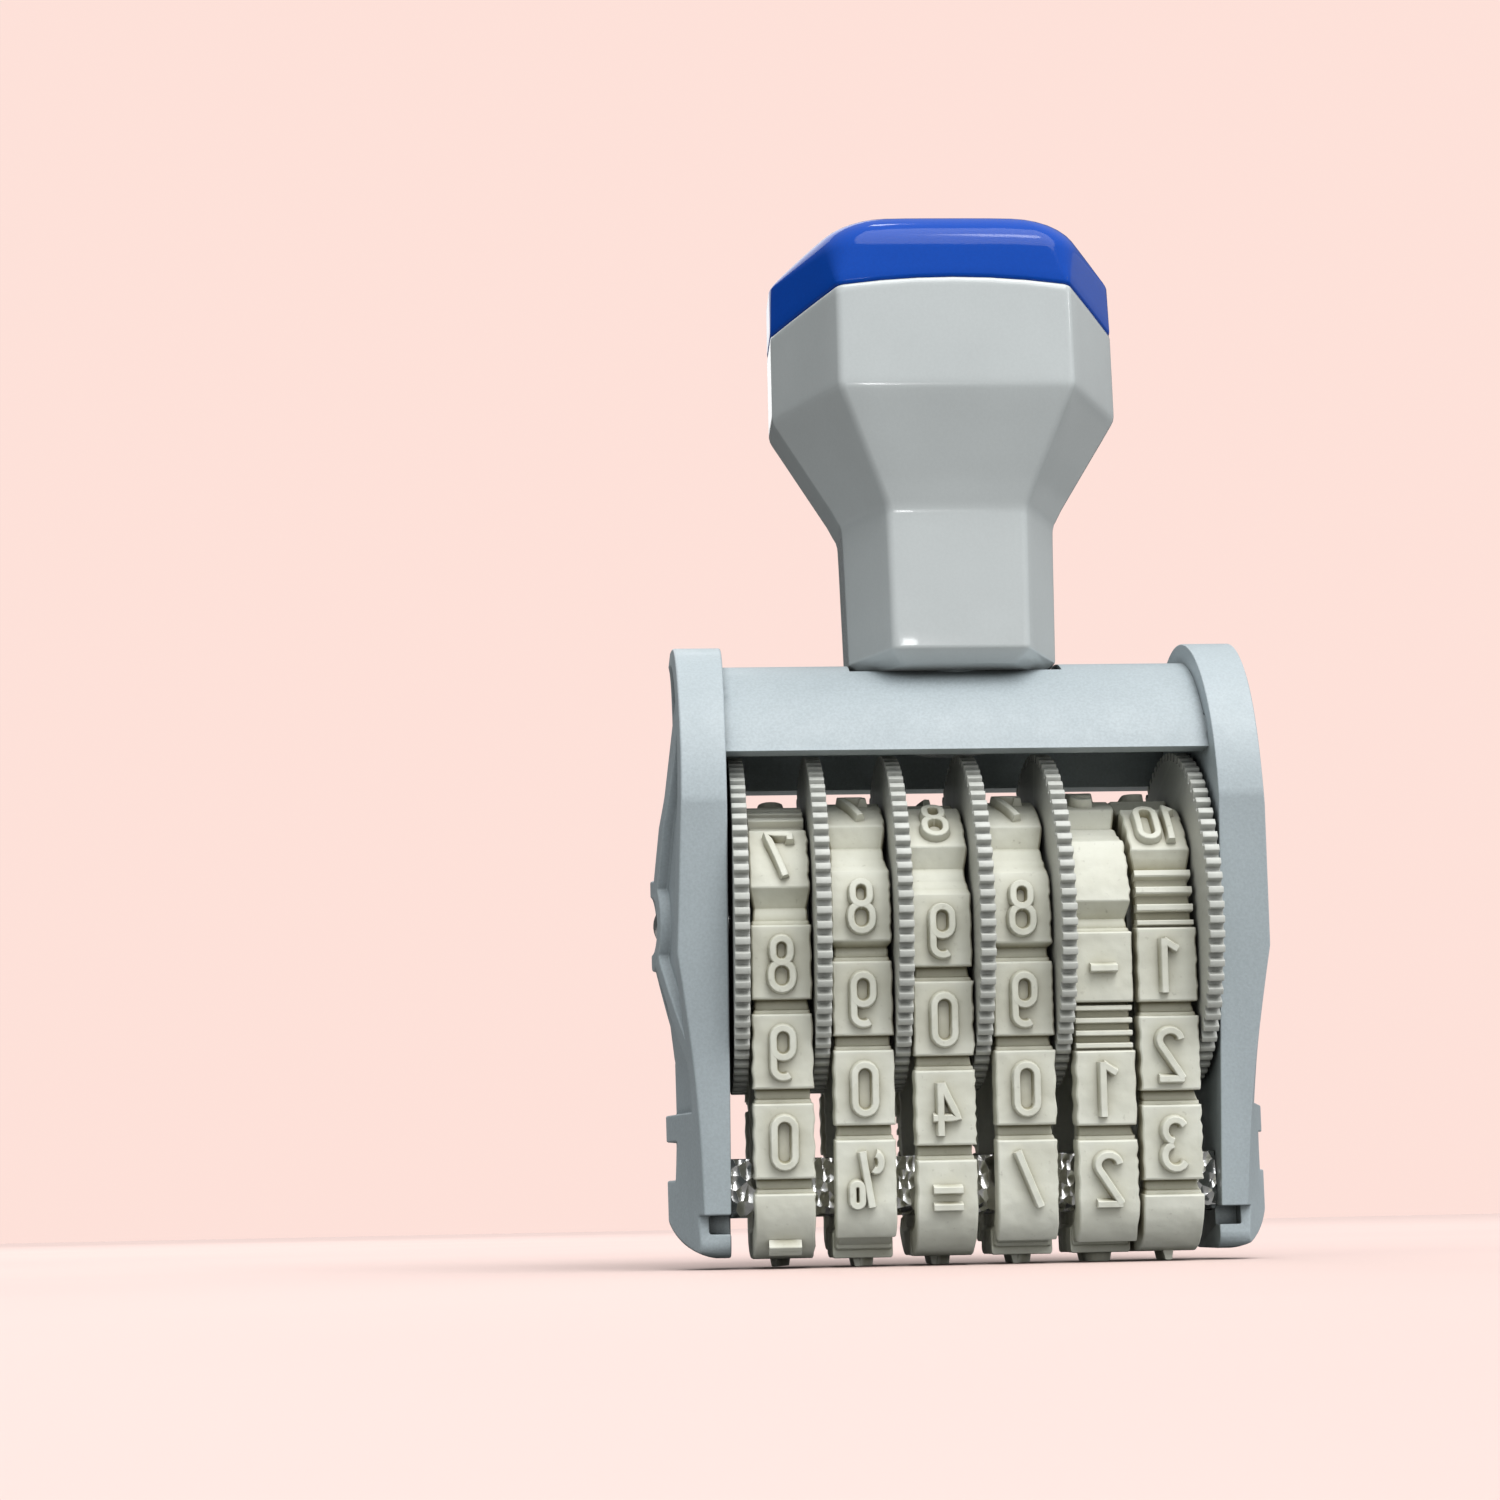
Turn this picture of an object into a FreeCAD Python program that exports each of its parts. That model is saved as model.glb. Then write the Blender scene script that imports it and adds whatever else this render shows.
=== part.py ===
import FreeCAD, Part
import math
import os

# Band numbering stamp, in millimetres. X runs across the stamp, left to right seen from the
# front, the front faces -Y and the handle points up along +Z. The origin lies under the
# middle of the stamp, on the plane that the type faces print on.

Vector = FreeCAD.Vector

# Stack of thumbwheels and type bands along the axle
BAND_COUNT = 6
RIM_THICKNESS = 1.35
BAND_SLOT = 5.75
WHEEL_END_GAP = 0.1
STACK_END_GAP = 0.4
TIP_RADIUS = 15.5
TOOTH_DEPTH = 0.7
TOOTH_COUNT = 75
TOOTH_TIP_SHARE = 0.46
TOOTH_ROOT_SHARE = 0.66
DRUM_RADIUS = 7.35
AXLE_HEIGHT = 31.0

# Type bands
BAND_CLEARANCE = 0.1
STRIP_THICKNESS = 1.9
BLOCK_THICKNESS = 3.6
TYPE_RELIEF = 0.8
BAND_SIDE_GAP = 0.17
STRIP_SIDE_STEP = 0.35
BLOCKS_PER_BAND = 11
BLOCK_LENGTH_SHARE = 0.88
TYPE_LENGTH_SHARE = 0.63
TYPE_WIDTH_SHARE = 0.5
BAND_PHASE_SHARES = (0.45, 0.03, -0.21, 0.0, -0.02, 0.36)

# Print bar, a bent steel channel
BAR_HALF_DEPTH = 5.0
BAR_BEND_RADIUS = 1.6
BAR_HEIGHT = 5.15
BAR_WALL = 0.8
BAR_CLEARANCE = 0.05
LUG_HALF_DEPTH = 2.5
LUG_LENGTH_SHARE = 0.5
LUG_CLEARANCE = 0.05

# Axle, riveted over at both ends
AXLE_RADIUS = 1.6
AXLE_RUNNING_GAP = 0.05
AXLE_SEAT_GAP = 0.02
RIVET_HEAD_RADIUS = 2.0
RIVET_HEAD_HEIGHT = 1.1
RIVET_RECESS_GAP = 0.6
RIVET_RECESS_DEPTH = 1.3

# Side plates: outline seen from the side, then thickness seen from the front
PLATE_CROWN_HALF_DEPTH = 13.9
PLATE_CROWN_OVER_WHEEL = 10.5
PLATE_CROWN_RISE = 9.0
PLATE_FOOT_HALF_DEPTH = 6.3
PLATE_LIP_STEP = 3.7
FOOT_SETBACK = 1.1
FOOT_HEIGHT = 1.0
FOOT_CORNER = 1.5
PLATE_LOW_RISE = 6.5
PLATE_HEIGHT_SHARES = (0.0, 0.32, 0.47, 0.68, 1.0)
PLATE_RIDGE_THICKNESSES = (5.4, 5.7, 6.7, 6.8, 4.5)
PLATE_EDGE_THICKNESSES = (2.4, 3.3, 4.5, 4.1, 3.6)
FOOT_OUTER_RADIUS_SHARE = 0.75
FOOT_FLAT = 1.2
RIM_WIDTH = 1.7
RIB_WIDTH = 1.8
RIB_SLOPE_DEG = 58.0
POCKET_DEPTH = 1.0
POCKET_BOTTOM_RISE = 9.0
BOSS_RADIUS = 4.2
KEY_RECESS_RISE = 3.2
KEY_RECESS_HEIGHT = 3.4
KEY_RECESS_LOW_HALF = 1.6
KEY_RECESS_HIGH_HALF = 2.4
NOTCH_WIDTH_SHARE = 0.8
NOTCH_HEIGHT = 1.6
NOTCH_DEPTH = 1.6

# Bridge between the plates
BRIDGE_INSET = 1.8
BRIDGE_WALL = 2.4
BRIDGE_RISE_SHARE = 0.61
SCREW_BOSS_RADIUS = 5.5
SCREW_BOSS_HEIGHT = 4.4
HEAD_OVER_WHEEL = 0.7
PEG_RADIUS = 1.5
PEG_LENGTH_SHARE = 0.45
PEG_CLEARANCE = 0.05
PEG_RISE_SHARE = 0.41
PEG_SPACING_SHARE = 0.68
SEAT_CLEARANCE = 0.15

# Handle: eight-sided sections of half width, front half width, half depth, side half depth
NECK_FOOT_SECTION = (9.7, 6.15, 9.6, 2.9)
NECK_TOP_SECTION = (10.0, 6.35, 9.9, 2.9)
HEAD_SECTION = (16.4, 10.7, 13.4, 3.0)
RIDGE_ROUNDING = 0.9
FOOT_BEVEL = 1.5
FOOT_BEVEL_HEIGHT = 1.1
NECK_LENGTH = 14.5
TAPER_LENGTH = 10.4
HEAD_LENGTH = 10.4
EDGE_EASE = 0.5
SEAM_ARCH_RADIUS = 71.6
CAP_HEIGHT = 6.9
CAP_WALL_SHARE = 0.40
CAP_ROUND_STEPS = 6
CAP_TOP_INSET = 5.5
CAP_TOP_ROUNDING = 5.5
CAP_CROWN_RADIUS = 60.0
SPIGOT_RADIUS = 6.5
SPIGOT_LENGTH = 6.0
SPIGOT_CLEARANCE = 0.1

# Handle screw
SCREW_RADIUS = 2.0
SCREW_CLEARANCE = 0.05
SCREW_PASS_GAP = 0.2
SCREW_HEAD_RADIUS = 3.6
SCREW_HEAD_HEIGHT = 2.2
SCREW_GRIP = 15.6
SCREW_SLOT_WIDTH = 1.0
SCREW_SLOT_DEPTH = 1.1

# Aids to drawing: cutters run past a face, shortest piece of outline, bow of a straight line
OVERRUN = 1.0
SHORTEST_EDGE = 0.001
STRAIGHT_BOW = 0.001

wheel_pitch = RIM_THICKNESS + BAND_SLOT
stack_length = (BAND_COUNT - 1) * wheel_pitch + BAND_SLOT + RIM_THICKNESS
opening_half = stack_length / 2 + STACK_END_GAP
band_width = BAND_SLOT - 2 * BAND_SIDE_GAP
strip_width = band_width - 2 * STRIP_SIDE_STEP
loop_radius = DRUM_RADIUS + BAND_CLEARANCE
loop_bottom = TYPE_RELIEF + BLOCK_THICKNESS
bar_bottom = loop_bottom + BAR_CLEARANCE

wheel_top = AXLE_HEIGHT + TIP_RADIUS
plate_lip = FOOT_HEIGHT + PLATE_LIP_STEP
plate_low = FOOT_HEIGHT + PLATE_LOW_RISE
crown_centre = AXLE_HEIGHT + PLATE_CROWN_RISE
crown_top = wheel_top + PLATE_CROWN_OVER_WHEEL
crown_height = crown_top - crown_centre
pocket_bottom = plate_lip + POCKET_BOTTOM_RISE
bridge_bottom = crown_centre + (wheel_top - crown_centre) * BRIDGE_RISE_SHARE + BRIDGE_WALL / 2
peg_height = crown_centre + crown_height * PEG_RISE_SHARE
peg_half_spacing = PLATE_CROWN_HALF_DEPTH * PEG_SPACING_SHARE
plate_depth = max(PLATE_RIDGE_THICKNESSES)
plate_edge = min(PLATE_EDGE_THICKNESSES)
peg_length = PLATE_EDGE_THICKNESSES[-1] * PEG_LENGTH_SHARE
lug_length = PLATE_RIDGE_THICKNESSES[0] * LUG_LENGTH_SHARE
notch_width = plate_edge * NOTCH_WIDTH_SHARE

screw_boss_bottom = wheel_top + HEAD_OVER_WHEEL + SCREW_HEAD_HEIGHT
seat_height = screw_boss_bottom + SCREW_BOSS_HEIGHT
neck_top = seat_height + NECK_LENGTH
head_edge = neck_top + TAPER_LENGTH
seam_height = head_edge + HEAD_LENGTH
cap_top = seam_height + CAP_HEIGHT
cap_wall_top = seam_height + CAP_HEIGHT * CAP_WALL_SHARE
screw_length = SCREW_BOSS_HEIGHT + SCREW_GRIP


def in_side_plane(shape):
    """Turns a flat shape drawn in X and Y so that its X is depth and its Y is height."""
    turned = shape.copy()
    side = FreeCAD.Rotation(Vector(0, 1, 0), Vector(0, 0, 1), Vector(1, 0, 0))
    turned.Placement = FreeCAD.Placement(Vector(0, 0, 0), side)
    return turned


def in_front_plane(shape):
    """Turns a flat shape drawn in X and Y so that its X stays and its Y is height."""
    turned = shape.copy()
    turned.rotate(Vector(0, 0, 0), Vector(1, 0, 0), 90)
    return turned


def face_of(edges):
    return Part.Face(Part.Wire(edges))


def polygon_face(points):
    corners = [Vector(x, y, 0) for x, y in points]
    return Part.Face(Part.makePolygon(corners + corners[:1]))


def prism_across(face, start, length):
    """Extrudes a side view along X from start."""
    solid = in_side_plane(face).extrude(Vector(length, 0, 0))
    solid.translate(Vector(start, 0, 0))
    return solid


def cylinder_across(radius, start, length, depth=0.0, height=AXLE_HEIGHT):
    return Part.makeCylinder(radius, length, Vector(start, depth, height), Vector(1, 0, 0))


# Type band: a closed loop round the drum and the print bar


def band_path():
    """Stretches of the inner loop from the bottom centre, forwards and up over the drum."""
    corner = BAR_BEND_RADIUS
    corner_x = -(BAR_HALF_DEPTH + BAR_CLEARANCE - corner)
    corner_z = loop_bottom + corner
    rise = AXLE_HEIGHT - corner_z
    spread = math.hypot(corner_x, rise)
    lean = math.asin((loop_radius - corner) / spread) - math.atan2(-corner_x, rise)
    stretches = []

    def line(a, b, normal):
        stretches.append(("line", a, b, normal, math.dist(a, b)))

    def arc(centre, radius, start, sweep):
        stretches.append(("arc", centre, radius, start, abs(sweep) * radius, sweep))

    down = -math.pi / 2
    left = math.pi + lean
    front_turn = left - 3 * math.pi / 2
    low = (corner_x, corner_z)
    top = (0.0, AXLE_HEIGHT)

    def on(centre, radius, angle):
        return (centre[0] + radius * math.cos(angle), centre[1] + radius * math.sin(angle))

    line((0.0, loop_bottom), (corner_x, loop_bottom), down)
    arc(low, corner, 3 * math.pi / 2, front_turn)
    line(on(low, corner, left), on(top, loop_radius, left), left)
    arc(top, loop_radius, left, -(math.pi + 2 * lean))
    right = -lean
    other = (-corner_x, corner_z)
    line(on(top, loop_radius, right), on(other, corner, right), right)
    arc(other, corner, right, down - right)
    line((-corner_x, loop_bottom), (0.0, loop_bottom), down)
    return stretches


PATH = band_path()
path_length = sum(stretch[4] for stretch in PATH)


def path_point(distance, offset):
    """Point of the side view at a distance along the loop, pushed out by offset."""
    left_over = distance % path_length
    stretch = PATH[-1]
    for candidate in PATH[:-1]:
        if left_over <= candidate[4]:
            stretch = candidate
            break
        left_over -= candidate[4]
    share = min(left_over / stretch[4], 1.0)
    if stretch[0] == "line":
        _, a, b, normal, _ = stretch
        x = a[0] + (b[0] - a[0]) * share + offset * math.cos(normal)
        y = a[1] + (b[1] - a[1]) * share + offset * math.sin(normal)
        return Vector(x, y, 0)
    _, centre, radius, start, _, sweep = stretch
    angle = start + sweep * share
    reach = radius + offset
    return Vector(centre[0] + reach * math.cos(angle), centre[1] + reach * math.sin(angle), 0)


def path_edges(start, end, offset):
    """Lines and arcs of the loop from start to end at one offset."""
    breaks = [start]
    mark = math.floor(start / path_length) * path_length
    while mark < end:
        for stretch in PATH:
            mark += stretch[4]
            if breaks[-1] + SHORTEST_EDGE < mark < end - SHORTEST_EDGE:
                breaks.append(mark)
    breaks.append(end)
    edges = []
    for a, b in zip(breaks, breaks[1:]):
        first = path_point(a, offset)
        middle = path_point((a + b) / 2, offset)
        last = path_point(b, offset)
        chord = (first + last) / 2
        if (middle - chord).Length < STRAIGHT_BOW:
            edges.append(Part.LineSegment(first, last).toShape())
        else:
            edges.append(Part.Arc(first, middle, last).toShape())
    return edges


def band_piece(start, end, low, high):
    """Side view of the band between two distances and two offsets."""
    outer = path_edges(start, end, high)
    inner = path_edges(start, end, low)
    ends = []
    for distance in (start, end):
        ends.append(Part.LineSegment(path_point(distance, low), path_point(distance, high)).toShape())
    return Part.Face(Part.Wire(Part.__sortEdges__(outer + inner + ends)))


def type_band(index):
    """Rubber band of raised blocks, each with one raised type pad."""
    centre = band_centre(index)
    ring_outer = Part.Wire(path_edges(0.0, path_length, STRIP_THICKNESS))
    ring_inner = Part.Wire(path_edges(0.0, path_length, 0.0))
    ring = Part.Face(ring_outer).cut(Part.Face(ring_inner))
    strip = prism_across(ring, centre - strip_width / 2, strip_width)
    pitch = path_length / BLOCKS_PER_BAND
    type_half = TYPE_LENGTH_SHARE * pitch / 2
    type_width = TYPE_WIDTH_SHARE * band_width
    blocks = []
    for step in range(BLOCKS_PER_BAND):
        middle = (step + BAND_PHASE_SHARES[index]) * pitch
        half = BLOCK_LENGTH_SHARE * pitch / 2
        block = band_piece(middle - half, middle + half, 0.0, BLOCK_THICKNESS)
        blocks.append(prism_across(block, centre - band_width / 2, band_width))
        pad_top = BLOCK_THICKNESS + TYPE_RELIEF
        pad = band_piece(middle - type_half, middle + type_half, STRIP_THICKNESS, pad_top)
        blocks.append(prism_across(pad, centre - type_width / 2, type_width))
    return strip.multiFuse(blocks).removeSplitter()


# Thumbwheels and the axle they turn on


def rim_left(index):
    """Left face of a wheel's toothed rim. The last wheel is turned round."""
    first = -stack_length / 2
    if index == BAND_COUNT - 1:
        return -first - RIM_THICKNESS
    return first + index * wheel_pitch


def band_centre(index):
    """Middle of the slot that a band runs in, beside its wheel's rim."""
    if index == BAND_COUNT - 1:
        return rim_left(index) - BAND_SLOT / 2
    return rim_left(index) + RIM_THICKNESS + BAND_SLOT / 2


def toothed_face():
    """Side view of the rim, with its square teeth."""
    root = TIP_RADIUS - TOOTH_DEPTH
    step = 2 * math.pi / TOOTH_COUNT
    points = []
    for tooth in range(TOOTH_COUNT):
        middle = tooth * step
        for radius, share in (
            (root, -TOOTH_ROOT_SHARE),
            (TIP_RADIUS, -TOOTH_TIP_SHARE),
            (TIP_RADIUS, TOOTH_TIP_SHARE),
            (root, TOOTH_ROOT_SHARE),
        ):
            angle = middle + share * step / 2
            points.append((radius * math.cos(angle), AXLE_HEIGHT + radius * math.sin(angle)))
    return polygon_face(points)


def thumbwheel(index):
    """Toothed rim with the drum that drives the band, bored to turn on the axle."""
    rim = prism_across(toothed_face(), rim_left(index), RIM_THICKNESS)
    drum_length = BAND_SLOT - WHEEL_END_GAP
    if index == BAND_COUNT - 1:
        drum = cylinder_across(DRUM_RADIUS, rim_left(index) - drum_length, drum_length)
    else:
        drum = cylinder_across(DRUM_RADIUS, rim_left(index) + RIM_THICKNESS, drum_length)
    bore_radius = AXLE_RADIUS + AXLE_RUNNING_GAP
    bore = cylinder_across(bore_radius, -opening_half, 2 * opening_half)
    return rim.fuse(drum).removeSplitter().cut(bore)


def ridge_thickness(height):
    """Thickness of a plate at a height, along the ridge up its middle."""
    share = height / crown_top
    stops = list(zip(PLATE_HEIGHT_SHARES, PLATE_RIDGE_THICKNESSES))
    for (low, thin), (high, thick) in zip(stops, stops[1:]):
        if share <= high:
            return thin + (thick - thin) * (share - low) / (high - low)
    return PLATE_RIDGE_THICKNESSES[-1]


def recess_floor():
    """Distance from the middle to the face that a rivet head seats on."""
    return opening_half + ridge_thickness(AXLE_HEIGHT) - RIVET_RECESS_DEPTH


def axle():
    """Steel axle with a domed rivet head at each end."""
    half = recess_floor()
    shaft = cylinder_across(AXLE_RADIUS, -half, 2 * half)
    sphere_radius = (RIVET_HEAD_RADIUS**2 + RIVET_HEAD_HEIGHT**2) / (2 * RIVET_HEAD_HEIGHT)
    heads = []
    for side in (-1, 1):
        ball_x = side * (half + RIVET_HEAD_HEIGHT - sphere_radius)
        ball = Part.makeSphere(sphere_radius, Vector(ball_x, 0, AXLE_HEIGHT))
        start = half if side > 0 else -half - sphere_radius
        heads.append(ball.common(cylinder_across(RIVET_HEAD_RADIUS, start, sphere_radius)))
    return shaft.multiFuse(heads).removeSplitter()


# Side plates


def plate_half_depth(height):
    """Half of a plate's depth at a height below its crown."""
    slope = (PLATE_CROWN_HALF_DEPTH - PLATE_FOOT_HALF_DEPTH) / (crown_centre - plate_lip)
    return PLATE_FOOT_HALF_DEPTH + slope * (min(height, crown_centre) - plate_lip)


def plate_outline(inset, bottom):
    """Side view of a plate above a height, brought in all round by inset."""
    across = PLATE_CROWN_HALF_DEPTH - inset
    middle = Vector(0, crown_centre, 0)
    top = Vector(0, crown_top - inset, 0)
    curve = Part.Ellipse(top, Vector(across, crown_centre, 0), middle)
    edge = Part.ArcOfEllipse(curve, -math.pi / 2, math.pi / 2).toShape()
    start, end = edge.firstVertex().Point, edge.lastVertex().Point
    half = plate_half_depth(bottom) - inset
    sign = 1 if end.x > 0 else -1
    low_end = Vector(sign * half, bottom, 0)
    low_start = Vector(-sign * half, bottom, 0)
    return face_of(
        [
            edge,
            Part.LineSegment(end, low_end).toShape(),
            Part.LineSegment(low_end, low_start).toShape(),
            Part.LineSegment(low_start, start).toShape(),
        ]
    )


def plate_front_view(thinner):
    """Front view of the right plate's rounded foot, open to both sides above it."""
    inner = opening_half
    top = crown_top + OVERRUN
    low = inner + ridge_thickness(plate_low) - thinner
    outside = inner + plate_depth
    flat = inner + FOOT_FLAT
    turn = Vector(
        flat + (low - flat) * FOOT_OUTER_RADIUS_SHARE,
        FOOT_HEIGHT + (plate_low - FOOT_HEIGHT) * (1 - FOOT_OUTER_RADIUS_SHARE),
        0,
    )
    corners = [
        Vector(low, plate_low, 0),
        Vector(outside, plate_low, 0),
        Vector(outside, top, 0),
        Vector(inner, top, 0),
        Vector(inner, FOOT_HEIGHT, 0),
        Vector(flat, FOOT_HEIGHT, 0),
    ]
    edges = [Part.Arc(corners[-1], turn, corners[0]).toShape()]
    for a, b in zip(corners, corners[1:]):
        edges.append(Part.LineSegment(a, b).toShape())
    depth = 2 * PLATE_CROWN_HALF_DEPTH
    slab = in_front_plane(face_of(edges)).extrude(Vector(0, depth, 0))
    slab.translate(Vector(0, -depth / 2, 0))
    return slab


def roof(thinner):
    """Space inside the shallow roof whose ridge runs up the middle of a plate's outer face."""
    half = PLATE_CROWN_HALF_DEPTH + OVERRUN
    inner = opening_half / 2
    sections = []
    for share, ridge, edge in zip(PLATE_HEIGHT_SHARES, PLATE_RIDGE_THICKNESSES, PLATE_EDGE_THICKNESSES):
        height = (crown_top + OVERRUN) * share
        fall = (ridge - edge) * half / plate_half_depth(height)
        middle = opening_half + ridge - thinner
        corners = [
            Vector(inner, -half, height),
            Vector(middle - fall, -half, height),
            Vector(middle, 0, height),
            Vector(middle - fall, half, height),
            Vector(inner, half, height),
        ]
        sections.append(Part.makePolygon(corners + corners[:1]))
    return Part.makeLoft(sections, True, True)


def rib_bar(angle):
    """One diagonal rib seen from the side, through the axle."""
    length = 2 * crown_top
    bar = Part.makePlane(length, RIB_WIDTH, Vector(-length / 2, -RIB_WIDTH / 2, 0))
    bar.rotate(Vector(0, 0, 0), Vector(0, 0, 1), angle)
    bar.translate(Vector(0, AXLE_HEIGHT, 0))
    return bar


def pockets():
    """Recesses between the rim, the crossed ribs and the boss on a plate's outer face."""
    field = plate_outline(RIM_WIDTH, pocket_bottom)
    boss = Part.Face(Part.Wire(Part.makeCircle(BOSS_RADIUS, Vector(0, AXLE_HEIGHT, 0))))
    for shape in (rib_bar(RIB_SLOPE_DEG), rib_bar(-RIB_SLOPE_DEG), boss):
        field = field.cut(shape)
    key_low = plate_lip + KEY_RECESS_RISE
    key = polygon_face(
        [
            (-KEY_RECESS_LOW_HALF, key_low),
            (KEY_RECESS_LOW_HALF, key_low),
            (KEY_RECESS_HIGH_HALF, key_low + KEY_RECESS_HEIGHT),
            (-KEY_RECESS_HIGH_HALF, key_low + KEY_RECESS_HEIGHT),
        ]
    )
    depth = plate_depth + OVERRUN
    tools = [prism_across(face, opening_half, depth) for face in field.Faces]
    tools.append(prism_across(key, opening_half, depth))
    floor = roof(POCKET_DEPTH).common(plate_front_view(POCKET_DEPTH))
    return [tool.cut(floor) for tool in tools]


def foot_face():
    """Side view of the foot that steps back under a plate's front lip."""
    half = PLATE_FOOT_HALF_DEPTH - FOOT_SETBACK
    turn = FOOT_CORNER * (1 - math.sqrt(0.5))
    low, high = FOOT_HEIGHT, plate_lip + FOOT_CORNER
    start = Vector(-half, low + FOOT_CORNER, 0)
    end = Vector(half, low + FOOT_CORNER, 0)
    a = Vector(-half + FOOT_CORNER, low, 0)
    b = Vector(half - FOOT_CORNER, low, 0)
    return face_of(
        [
            Part.Arc(start, Vector(-half + turn, low + turn, 0), a).toShape(),
            Part.LineSegment(a, b).toShape(),
            Part.Arc(b, Vector(half - turn, low + turn, 0), end).toShape(),
            Part.LineSegment(end, Vector(half, high, 0)).toShape(),
            Part.LineSegment(Vector(half, high, 0), Vector(-half, high, 0)).toShape(),
            Part.LineSegment(Vector(-half, high, 0), start).toShape(),
        ]
    )


def right_plate():
    """Side plate with its ribbed outer face, rivet recess, peg holes and bar slot."""
    depth = plate_depth
    sheet = prism_across(plate_outline(0.0, plate_lip), opening_half, depth)
    foot = prism_across(foot_face(), opening_half, depth)
    plate = sheet.fuse(foot).removeSplitter()
    plate = plate.common(plate_front_view(0.0)).common(roof(0.0))
    for tool in pockets():
        plate = plate.cut(tool)
    floor = recess_floor()
    plate = plate.cut(cylinder_across(RIVET_HEAD_RADIUS + RIVET_RECESS_GAP, floor, depth))
    plate = plate.cut(cylinder_across(AXLE_RADIUS + AXLE_SEAT_GAP, opening_half - OVERRUN, depth))
    for side in (-1, 1):
        hole_radius = PEG_RADIUS + PEG_CLEARANCE
        hole_length = peg_length + PEG_CLEARANCE
        plate = plate.cut(
            cylinder_across(hole_radius, opening_half, hole_length, side * peg_half_spacing, peg_height)
        )
    slot_half = LUG_HALF_DEPTH + LUG_CLEARANCE
    slot = Part.makeBox(
        lug_length + LUG_CLEARANCE,
        2 * slot_half,
        BAR_WALL + 2 * LUG_CLEARANCE,
        Vector(opening_half, -slot_half, bar_bottom - LUG_CLEARANCE),
    )
    notch = Part.makeBox(
        notch_width + OVERRUN,
        NOTCH_DEPTH + OVERRUN,
        NOTCH_HEIGHT,
        Vector(
            opening_half - OVERRUN,
            -(PLATE_FOOT_HALF_DEPTH - FOOT_SETBACK) - OVERRUN,
            plate_lip - NOTCH_HEIGHT,
        ),
    )
    return plate.cut(slot).cut(notch)


# Bridge, print bar and handle screw


def arch_face(inset):
    """Side view of the bridge's arch above its lower edge."""
    high = crown_top
    half = PLATE_CROWN_HALF_DEPTH
    whole = plate_outline(inset, plate_lip)
    window = polygon_face(
        [
            (-half, bridge_bottom),
            (half, bridge_bottom),
            (half, high),
            (-half, high),
        ]
    )
    return whole.common(window).Faces[0]


def neck_pocket():
    """Recess in the top of the bridge that the handle's foot stands in."""
    half_width = NECK_FOOT_SECTION[0] + SEAT_CLEARANCE
    half_depth = NECK_FOOT_SECTION[2] + SEAT_CLEARANCE
    return Part.makeBox(
        2 * half_width,
        2 * half_depth,
        crown_height,
        Vector(-half_width, -half_depth, seat_height),
    )


def top_bridge():
    """Arched bridge between the plates, with end pegs, a handle seat and a screw boss."""
    length = 2 * opening_half
    shell = prism_across(arch_face(BRIDGE_INSET), -opening_half, length)
    hollow = prism_across(arch_face(BRIDGE_INSET + BRIDGE_WALL), -opening_half, length)
    boss_height = seat_height - screw_boss_bottom
    boss = Part.makeCylinder(SCREW_BOSS_RADIUS, boss_height, Vector(0, 0, screw_boss_bottom))
    bridge = shell.cut(hollow).fuse(boss).cut(neck_pocket())
    pegs = []
    for side in (-1, 1):
        for end in (-1, 1):
            start = opening_half if end > 0 else -opening_half - peg_length
            pegs.append(
                cylinder_across(PEG_RADIUS, start, peg_length, side * peg_half_spacing, peg_height)
            )
    hole_radius = SCREW_RADIUS + SCREW_PASS_GAP
    hole = Part.makeCylinder(hole_radius, crown_height, Vector(0, 0, screw_boss_bottom - OVERRUN))
    return bridge.multiFuse(pegs).removeSplitter().cut(hole)


def channel_face(half, bottom, radius):
    """Side view of the space under a channel's top edge, with rounded lower bends."""
    high = bar_bottom + BAR_HEIGHT
    turn = radius * (1 - math.sqrt(0.5))
    left_up = Vector(-half, bottom + radius, 0)
    left_low = Vector(-half + radius, bottom, 0)
    right_low = Vector(half - radius, bottom, 0)
    right_up = Vector(half, bottom + radius, 0)
    return face_of(
        [
            Part.Arc(left_up, Vector(-half + turn, bottom + turn, 0), left_low).toShape(),
            Part.LineSegment(left_low, right_low).toShape(),
            Part.Arc(right_low, Vector(half - turn, bottom + turn, 0), right_up).toShape(),
            Part.LineSegment(right_up, Vector(half, high, 0)).toShape(),
            Part.LineSegment(Vector(half, high, 0), Vector(-half, high, 0)).toShape(),
            Part.LineSegment(Vector(-half, high, 0), left_up).toShape(),
        ]
    )


def print_bar():
    """Bent steel channel that backs the type, with a lug at each end."""
    outer = channel_face(BAR_HALF_DEPTH, bar_bottom, BAR_BEND_RADIUS)
    inner = channel_face(BAR_HALF_DEPTH - BAR_WALL, bar_bottom + BAR_WALL, BAR_BEND_RADIUS - BAR_WALL)
    length = 2 * opening_half
    channel = prism_across(outer, -opening_half, length).cut(prism_across(inner, -opening_half, length))
    lug = Part.makeBox(
        length + 2 * lug_length,
        2 * LUG_HALF_DEPTH,
        BAR_WALL,
        Vector(-opening_half - lug_length, -LUG_HALF_DEPTH, bar_bottom),
    )
    return channel.fuse(lug).removeSplitter()


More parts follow.
